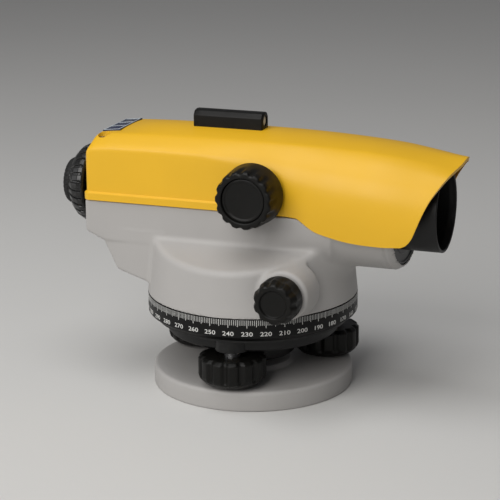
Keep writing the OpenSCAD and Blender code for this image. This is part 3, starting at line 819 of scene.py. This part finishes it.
# half-sections of the cover from the lower edge to the ridge, as a control cage: at each
# place along the line of sight, ten (half width, height) points
COVER_CAGE = [
    (-77.9, [(25.4, 80), (25.4, 94), (25.4, 107), (25.3, 116.2), (24.8, 117.5), (21.6, 117.9),
             (18, 118.0), (16, 118.1), (8, 118.2), (0, 118.3)]),
    (-77.1, [(26.4, 80), (26.4, 94), (26.4, 107), (26.3, 117.0), (25.8, 118.6), (22.0, 119.9),
             (18.2, 121.4), (16, 121.7), (8, 121.9), (0, 122.0)]),
    (-75.7, [(27, 80), (27, 94), (27, 107), (26.9, 117.8), (26.5, 119.5), (22.5, 121.5),
             (18.6, 123.5), (16.4, 124.0), (8.4, 124.4), (0, 124.5)]),
    (-73.5, [(27, 80), (27, 94), (27, 107), (27, 118.0), (26.6, 120.2), (22.6, 122.7),
             (18.8, 124.9), (16.6, 125.4), (8.5, 125.7), (0, 125.8)]),
    (-64.0, [(27, 80), (27, 94), (27, 107), (27, 118.6), (26.7, 120.9), (22.8, 123.4),
             (18.8, 125.8), (16.6, 126.3), (8.5, 126.9), (0, 127.0)]),
    (-45.0, [(27, 80), (27, 94), (27, 107), (27, 118.9), (26.7, 121.2), (22.8, 123.7),
             (18.7, 126.2), (16.4, 127.0), (8.4, 128.6), (0, 129.1)]),
    (-20.0, [(27, 80), (27, 94), (27, 107), (27, 118.5), (26.6, 121.0), (22.8, 123.8),
             (18.6, 126.4), (16.4, 127.2), (8.4, 129.0), (0, 129.6)]),
    (0.0, [(27, 80), (27, 93.5), (27, 105), (27, 114.5), (26.6, 119.4), (23.2, 123.2),
           (18.6, 126.4), (16.3, 127.2), (8.3, 129.0), (0, 129.6)]),
    (16.0, [(27.5, 80), (27.8, 93), (28.2, 103.5), (28.3, 111.5), (26.9, 118.0), (23.0, 122.8),
            (18.2, 126.4), (16.0, 127.1), (8.2, 128.9), (0, 129.5)]),
    (32.0, [(29.3, 80), (29.9, 92), (30.2, 102), (29.7, 110.4), (27.2, 117.3), (22.6, 122.5),
            (17.9, 126.1), (15.8, 126.8), (8, 128.4), (0, 129.0)]),
    (50.0, [(31.0, 80), (31.7, 91), (31.8, 100.5), (30.8, 109), (27.9, 116.2), (22.8, 121.8),
            (17.3, 125.4), (15.2, 126.1), (7.8, 127.6), (0, 128.1)]),
    (72.0, [(31.2, 80), (31.8, 90), (31.7, 99.5), (30.5, 107.8), (27.4, 114.8), (22.2, 120.4),
            (16.6, 123.9), (14.5, 124.6), (7.4, 125.9), (0, 126.4)]),
    (92.0, [(30.4, 79), (30.9, 89), (30.4, 98.5), (28.8, 106.3), (25.8, 112.7), (20.9, 118.1),
            (15.4, 121.1), (13.3, 121.8), (6.8, 123.5), (0, 124.4)]),
    (108.2, [(28.8, 78), (29.0, 88), (28.6, 97), (27.0, 104), (24.4, 110.0), (19.8, 115.4),
             (14.2, 117.9), (12.2, 118.6), (6.2, 121.0), (0, 122.9)]),
]
COVER_TIP_X = 108.2
# the lower edge and the mouth of the hood, seen from the side: (x, z) and (z, x)
COVER_LOW_EDGE = [
    (-80, 93.7), (22, 93.7), (28, 93.9), (32.5, 93.6), (36, 91.6), (39, 89.6), (42, 88.0),
    (48.7, 86.2), (57.6, 84.4), (66.4, 83.6), (75.2, 83.4), (84, 83.9),
]
COVER_MOUTH = [
    (83.9, 84.0), (84.5, 85.8), (85.5, 87.2), (88.1, 89.2), (93.1, 91.3), (99.7, 93.9),
    (106.3, 96.9), (110.6, 99.5), (114.1, 101.8), (116.8, 103.7), (118.5, 105.2),
    (120.8, 107.4), (122.4, COVER_TIP_X),
]
# thickness of the cover; its flat rear, and the eyepiece's hole there
COVER_WALL = 2.0
REAR_WALL_X, EYEPIECE_HOLE_R = -78.1, 13
# heights of the lip's rows over the lower edge, and how far the lip stands out
LIP_RISES = [0, 0.3, 0.9, 1.9, 2.9, 3.4, 3.7, 3.95, 4.2, 4.6, 5.4]
LIP_OUT = 1.1
# the section's parameter at the ridge, and the rows of the mesh between lip and ridge
RIDGE, ROWS_ABOVE_LIP = 9, 60
# the cover's two screws and the wells that they sit in
SCREW_X, SCREW_Y, WELL_R, WELL_FLOOR = -71, 18, 3, 121.5


def cover_curve(x, t):
    """Half width and height of the cover at place x, t running along its section."""
    xs = [station for station, _ in COVER_CAGE]
    cage = np.array([points for _, points in COVER_CAGE], float)
    last = cage.shape[1] - 1
    before = 2 * cage[:, :1] - cage[:, 1:2]
    after = cage[:, last - 1:last] * np.array([-1, 1])
    cage = np.concatenate([before, cage, after], axis=1)
    i = np.clip(np.floor(t).astype(int), 0, last - 1)
    f = t - i
    # the weights of a cubic B-spline
    weights = [
        (1 - f) ** 3 / 6, (3 * f ** 3 - 6 * f ** 2 + 4) / 6,
        (-3 * f ** 3 + 3 * f ** 2 + 3 * f + 1) / 6, f ** 3 / 6,
    ]
    columns = np.stack([
        np.stack([through(xs, cage[:, c, axis], x) for c in range(cage.shape[1])], axis=-1)
        for axis in (0, 1)
    ])
    picked = [np.take_along_axis(columns, (i + k)[None, ..., None], -1)[..., 0] for k in range(4)]
    return sum(w * p for w, p in zip(weights, picked))


def cover_rows(x):
    """The section parameters of every row at places x, rows last: the lip, then the rest."""
    low = through(*zip(*COVER_LOW_EDGE), x)
    dense = np.linspace(0, RIDGE, 181)
    grid_x, grid_t = np.meshgrid(x, dense, indexing="ij")
    heights = cover_curve(grid_x, grid_t)[1]
    lip = np.stack([
        [np.interp(z + rise, h, dense) for z, h in zip(low, heights)] for rise in LIP_RISES
    ], axis=1)
    share = np.linspace(0, 1, ROWS_ABOVE_LIP + 1)[1:]
    rest = lip[:, -1:] + (RIDGE - lip[:, -1:]) * share
    return np.concatenate([lip, rest], axis=1)


def cover_half():
    """Points of the outer surface on one side, as (rows along, rows up, 3)."""
    rows = len(LIP_RISES) + ROWS_ABOVE_LIP
    # each row ends where it meets the mouth, found by stepping towards it
    front = np.full(rows, 95.0)
    for _ in range(12):
        t = np.diagonal(cover_rows(front))
        height = cover_curve(front, t)[1]
        front = 0.5 * front + 0.5 * through(*zip(*COVER_MOUTH), height)
    rear = COVER_CAGE[0][0]
    corner = rear + np.array([0, 0.25, 0.55, 0.9, 1.3, 1.8, 2.4, 3.1, 3.9, 4.8, 5.8, 7.0])
    places = np.concatenate([corner, np.linspace(-70.5, 92, 118), np.linspace(93, 100, 9)])
    share = (places - rear) / (places[-1] - rear)
    points = np.zeros((len(share), rows, 3))
    for k, s in enumerate(share):
        x = rear + (front - rear) * s
        t = np.diagonal(cover_rows(x))
        width, height = cover_curve(x, t)
        points[k] = np.stack([x, -width, height], axis=-1)
    return points


def rear_wall(edge):
    """Rows of the rear wall, from the eyepiece's hole out to the cover's rear edge."""
    split = 0.25
    height = edge[:, 2]
    level = np.clip((height - SIGHT_Z) / EYEPIECE_HOLE_R, -1, split)
    side_top = SIGHT_Z + split * EYEPIECE_HOLE_R
    climb = np.clip((height - side_top) / (height[-1] - side_top), 0, 1)
    angle = np.arcsin(level) + climb * (math.pi / 2 - math.asin(split))
    hole = np.stack([
        np.full(len(edge), REAR_WALL_X), -EYEPIECE_HOLE_R * np.cos(angle),
        SIGHT_Z + EYEPIECE_HOLE_R * np.sin(angle),
    ], axis=-1)
    hole[-1, 1] = 0
    rows = []
    for share in (0, 0.15, 0.3, 0.45, 0.6, 0.75, 0.88, 0.96):
        row = hole + (edge - hole) * share
        row[:, 0] = REAR_WALL_X
        rows.append(row)
    return np.array(rows)


def add_lip(points):
    """Pushes the lowest band out by the lip's thickness."""
    along = np.gradient(points, axis=0)
    upward = np.gradient(points, axis=1)
    normal = np.cross(along, upward)
    normal[..., 2] = 0
    length = np.maximum(np.linalg.norm(normal, axis=-1, keepdims=True), 1e-9)
    normal = normal / length
    rise = points[..., 2] - COVER_LOW_EDGE[0][1]
    amount = LIP_OUT * (1 - ease(3.45, 4.15, rise)) * (1 - ease(4, 15, points[..., 0]))
    return points + normal * amount[..., None]


def make_cover():
    """The yellow shell: both halves of the outer surface, given a wall and soft edges; its inside is a
    darker yellow, painted shade.
    """
    half = cover_half()
    half = np.concatenate([rear_wall(half[0]), half])
    half = add_lip(half)
    half[:, -1, 1] = 0
    other = half[:, -2::-1] * np.array([1, -1, 1])
    full = np.concatenate([half, other], axis=1)
    faces = grid_faces(*full.shape[:2], False)
    cover = piece(
        "cover_shell", full.reshape(-1, 3), faces, "alidade", "yellow_paint", replaces=("upper_cover",)
    )
    edit(cover, tidy)
    # the inner face of the wall takes the darkened yellow, painted shade inside the hood
    cover.data.materials.append(MATERIALS["hood_lining"])
    shell = cover.modifiers.new("wall", "SOLIDIFY")
    shell.thickness = COVER_WALL * MM
    shell.offset = -1
    shell.use_even_offset = True
    shell.material_offset = 1
    soft = cover.modifiers.new("edges", "BEVEL")
    soft.width = 0.35 * MM
    soft.segments = 2
    soft.limit_method = "ANGLE"
    soft.angle_limit = math.radians(60)
    bake(cover)
    cut(cover, *[
        cylinder_cutter(WELL_R, WELL_FLOOR, 140, along_z((SCREW_X, SCREW_Y * side, 0)), 48)
        for side in (-1, 1)
    ])
    sharpen(cover, 38)


def cover_height(x, y):
    """Height of the cover's outer surface over a point."""
    t = np.linspace(3.5, RIDGE, 111)
    width, height = cover_curve(np.full_like(t, x), t)
    return np.interp(abs(y), width[::-1], height[::-1])


def make_screw_wells():
    """Thin cups under the two holes for the cover's screws."""
    bore, outside, over = WELL_R - 0.25, WELL_R + 1.2, 127
    floor = WELL_FLOOR - 0.1
    for name, side in (("near", -1), ("far", 1)):
        cup = lathe(
            "screw_well_" + name,
            [
                (bore, floor), (outside, floor, 0.3), (outside, over), (WELL_R, over),
                (WELL_R, floor + 1.3, 0.5), (bore, floor + 1.3),
            ],
            along_z((SCREW_X, SCREW_Y * side, 0)), "alidade", "yellow_paint",
            turns=64, longest=0.6,
        )
        for vertex in cup.data.vertices:
            x, y, z = vertex.co / MM
            vertex.co.z = min(z, cover_height(x, y) - 0.3) * MM
        edit(cup, tidy)


# ---------- label and peep sight ----------


def bar(name, outline, rings, body, slot, turn=None, **options):
    """A closed outline (y, z) carried along x; each ring is (x, inset)."""
    outline = np.asarray(outline)
    middle = (outline.max(0) + outline.min(0)) / 2
    half = (outline.max(0) - outline.min(0)) / 2
    points = []
    for x, inset in rings:
        ring = middle + (outline - middle) * (half - inset) / half
        points += [(x, y, z) for y, z in ring]
    count = len(outline)
    faces = grid_faces(len(rings), count, True).tolist()
    faces.append(list(range(count)))
    faces.append(list(range(len(points) - count, len(points)))[::-1])
    points = np.array(points)
    if turn:
        points = turn(points)
    obj = piece(name, points, faces, body, slot, **options)
    edit(obj, tidy)
    sharpen(obj, 35)
    return obj


def on_label(points):
    """From the label's own frame to the slope of the cover."""
    slope = math.radians(6.6)
    x, y, z = points.T
    return np.stack([
        -73.5 + x * math.cos(slope) - z * math.sin(slope), y,
        125.4 + x * math.sin(slope) + z * math.cos(slope),
    ], axis=-1)


def label_strip(name, x0, x1, y0, y1, z0, z1, material=None, **options):
    """A thin flat bar on the label, between two places each way."""
    soft, bevel = 0.08, 0.03
    outline = rounded([(y0, z0), (y1, z0), (y1, z1, soft), (y0, z1, soft)], steps=3)
    rings = [(x0, bevel), (x0 + 0.05, 0), (x1 - 0.05, 0), (x1, bevel)]
    return bar(name, outline, rings, "alidade", "label", on_label, material=material, **options)


def make_label():
    """A dark foil with a thin silver border and two dividing lines."""
    long, half, margin, line, edge = 9.5, 14, 0.3, 0.6, 4.3
    label_strip("label_foil", 0, long, -half, half, 0.1, 0.8, replaces=("label_plate",))
    near, far = margin, long - margin
    side = half - margin
    for name, x0, x1, y0, y1 in (
        ("rear", near, near + line, -side, side), ("front", far - line, far, -side, side),
        ("near", near + line, far - line, -side, line - side),
        ("far", near + line, far - line, side - line, side),
        ("divider_near", near + line, far - line, -edge - 0.5, -edge),
        ("divider_far", near + line, far - line, edge, edge + 0.5),
    ):
        label_strip("label_border_" + name, x0, x1, y0, y1, 0.75, 0.92, "silver_print")


def make_sight():
    """The peep sight: a bar with a bore, a small hole behind and a frosted window in front."""
    low, high = span("peep_sight_body")
    half, top, front = high[1], high[2], high[0]
    outline = rounded([
        (-half, low[2]), (half, low[2]), (half, top - 2.6, 1.5), (half - 1.6, top - 0.3, 2.0),
        (0, top), (-half + 1.6, top - 0.3, 2.0), (-half, top - 2.6, 1.5),
    ], steps=7)
    ends = ((0.0, 0.75), (0.15, 0.4), (0.4, 0.12), (0.8, 0.0))
    rings = [(low[0] + along, inset) for along, inset in ends]
    rings += [(low[0] + 0.8 + k * 4.3, 0) for k in range(1, 8)]
    rings += [(front - along, inset) for along, inset in ends[::-1]]
    sight = bar("peep_sight", outline, rings, "alidade", "black_plastic", replaces=("peep_sight_body",))
    axis = (0, 0, 133.2)
    bore = cylinder_cutter(2.75, front - 2.6, front + 2, along_x(axis), 64)
    hole = cylinder_cutter(1.3, low[0] - 2, front - 2, along_x(axis), 48)
    cut(sight, bore, hole)
    sharpen(sight, 35)
    lathe(
        "peep_sight_window",
        [
            (0, front - 2.4), (2.7, front - 2.4), (2.7, front - 0.7, 0.2), (1.4, front - 0.35),
            (0, front - 0.25),
        ],
        along_x(axis), "alidade", "glass", closed=False, turns=64, longest=0.6,
        material="frosted_glass", replaces=("peep_sight_lens",),
    )


# ---------- knobs, eyepiece and objective ----------


def make_focus_knob():
    """The large knob, a cone with flutes at its front, and the cap let into it."""
    low, high = span("focus_knob")
    centre = ((low[0] + high[0]) / 2, high[1], (low[2] + high[2]) / 2)
    long = high[1] - low[1]
    front, base, cap = 13.9, (high[0] - low[0]) / 2, 10.5
    bore, seat, flute_count = 2.45, long - 1.9, 15
    lathe(
        "focus_knob_grip",
        [
            (bore, 0.5), (6, 0.5), (6, 0), (base - 0.3, 0, 0.4), (base, 0.8, 0.4),
            (front + 0.5, long - 3.2, 2), (front, long - 0.2, 1.4), (cap + 0.4, long, 0.8),
            (cap, seat, 0.4), (bore, seat),
        ],
        along_y(centre), "focus_drive", "black_plastic", longest=0.7, turns=flute_count * 20,
        wave=flutes(flute_count, 0.85, 0.36, long * 0.45, long - 1.5), replaces=("focus_knob",),
    )
    lathe(
        "focus_knob_cover",
        [
            (0, seat), (cap - 0.1, seat), (cap - 0.1, long - 0.9, 0.2), (9.6, long - 0.75, 0.3),
            (8.8, long - 1.15, 0.6), (4, long - 1.35, 2), (0, long - 1.4),
        ],
        along_y(centre), "focus_drive", "black_plastic", closed=False, longest=0.8, turns=128,
        replaces=("focus_knob_cap",),
    )


def make_fine_knobs():
    """The two slow-motion knobs, each with a blind bore for the shaft."""
    bore, flute_count = 2.5, 10
    for side, way in (("near", -1), ("far", 1)):
        node = "fine_knob_" + side
        low, high = span(node)
        start = high[1] if way < 0 else low[1]
        long = high[1] - low[1]
        centre = ((low[0] + high[0]) / 2, start, (low[2] + high[2]) / 2)
        radius = (high[0] - low[0]) / 2
        lathe(
            node + "_grip",
            [
                (0, long - 2.4), (bore, long - 2.4), (bore, 0), (radius - 2, 0, 0.8),
                (radius, 2.2, 2), (radius, long - 4, 3), (radius - 1.5, long, 1.4),
                (6.9, long, 0.6), (6.2, long - 1.1, 0.5), (0, long - 1.2),
            ],
            along_y(centre, way), "worm", "black_plastic", closed=False, longest=0.7,
            turns=flute_count * 24, wave=flutes(flute_count, 0.8, 0.36, 2, 8), replaces=(node,),
        )


def ribs(count, depth, start, end):
    """Flat ribs with narrow grooves between them, on one stretch of the length."""
    def wave(angle, radius, height):
        phase = (angle * count / (2 * math.pi) + 0.5) % 1 - 0.5
        groove = 1 - ease(0.1, 0.2, np.abs(phase))
        band = ease(start, start + 0.7, height) * (1 - ease(end - 0.7, end, height))
        return radius - depth * groove * band * ease(11.5, 12.5, radius)
    return wave


def make_eyepiece():
    """The ribbed dial that turns for the dioptre, and the rubber eyecup on it."""
    low, high = span("eyepiece_ring")
    base, long = high[0], high[0] - low[0]
    radius, bore, rib_count = (high[1] - low[1]) / 2, 10.05, 30
    lathe(
        "eyepiece_dial",
        [
            (bore, 0), (radius - 0.8, 0, 0.5), (radius, 1.2, 0.8), (radius, 3.4, 1.5),
            (radius - 1.6, 6.8, 2.5), (radius - 4.4, long - 2, 2), (12.3, long, 0.3), (bore, long),
        ],
        along_x((base, 0, SIGHT_Z), -1), "eyepiece_ring", "black_plastic", longest=0.6,
        turns=rib_count * 18, wave=ribs(rib_count, 0.95, 0.9, long - 0.8),
        material="gloss_plastic", replaces=("eyepiece_ring",),
    )
    low, high = span("eyecup")
    base, long, opening = high[0], high[0] - low[0], 7
    lathe(
        "eyecup_ring",
        [
            (opening, long - 1.1), (9.7, long - 1.1, 0.3), (bore, 0), (12, 0, 0.3),
            (12.1, 1.2, 1.2), (10.9, long, 1.6), (8.2, long, 0.7), (opening, long - 0.4, 0.2),
        ],
        along_x((base, 0, SIGHT_Z), -1), "eyepiece_ring", "black_rubber", longest=0.6,
        turns=rib_count * 12, wave=flutes(rib_count, 0.35, 0.2, 0.2, 0.8), replaces=("eyecup",),
    )


def make_objective():
    """The ring in the barrel's mouth, and the sunshade with its stepped bore."""
    rear = span("objective_bezel")[0][0]
    bore, rim, front = 20.65, 27.9, BARREL_END - 0.9
    lathe(
        "objective_front_ring",
        [
            (bore, rear), (rim, rear), (rim, front - 0.6, 0.3), (rim - 0.5, front, 0.3),
            (26.6, front, 0.2), (26.2, front - 0.5, 0.2), (22.8, front - 0.5, 0.2),
            (22.3, front, 0.2), (bore, front),
        ],
        along_x((0, 0, SIGHT_Z)), "alidade", "black_metal", turns=192, longest=1.5,
        replaces=("objective_bezel",),
    )
    low, high = span("sunshade_tube")
    rear, front = low[0], high[0]
    radius = (high[1] - low[1]) / 2
    inner = radius - 1.4
    groove, pitch, count = 0.35, 1.1, 25
    steps = [(inner - groove * (k % 2), front - 3 - pitch * k) for k in range(count)]
    lathe(
        "sunshade",
        [
            (inner, rear), (radius, rear), (radius, front - 0.2, 0.4),
            (radius - 0.7, front, 0.3), (inner, front - 0.3, 0.3),
        ] + steps,
        along_x((0, 0, SIGHT_Z)), "alidade", "black_metal", turns=192, longest=3,
        replaces=("sunshade_tube",),
    )


def make_all():
    make_camera()
    make_studio()
    make_floor()
    make_foot_plate()
    make_foot_knobs()
    make_circle()
    make_housing()
    make_cover()
    make_screw_wells()
    make_label()
    make_sight()
    make_focus_knob()
    make_fine_knobs()
    make_eyepiece()
    make_objective()


make_all()

record_slots = {s["node"]: s["material_slot"] for s in frame["record"]["subparts"]}
for name, node in frame["nodes"].items():
    node.data.materials.clear()
    node.data.materials.append(MATERIALS[record_slots[name]])
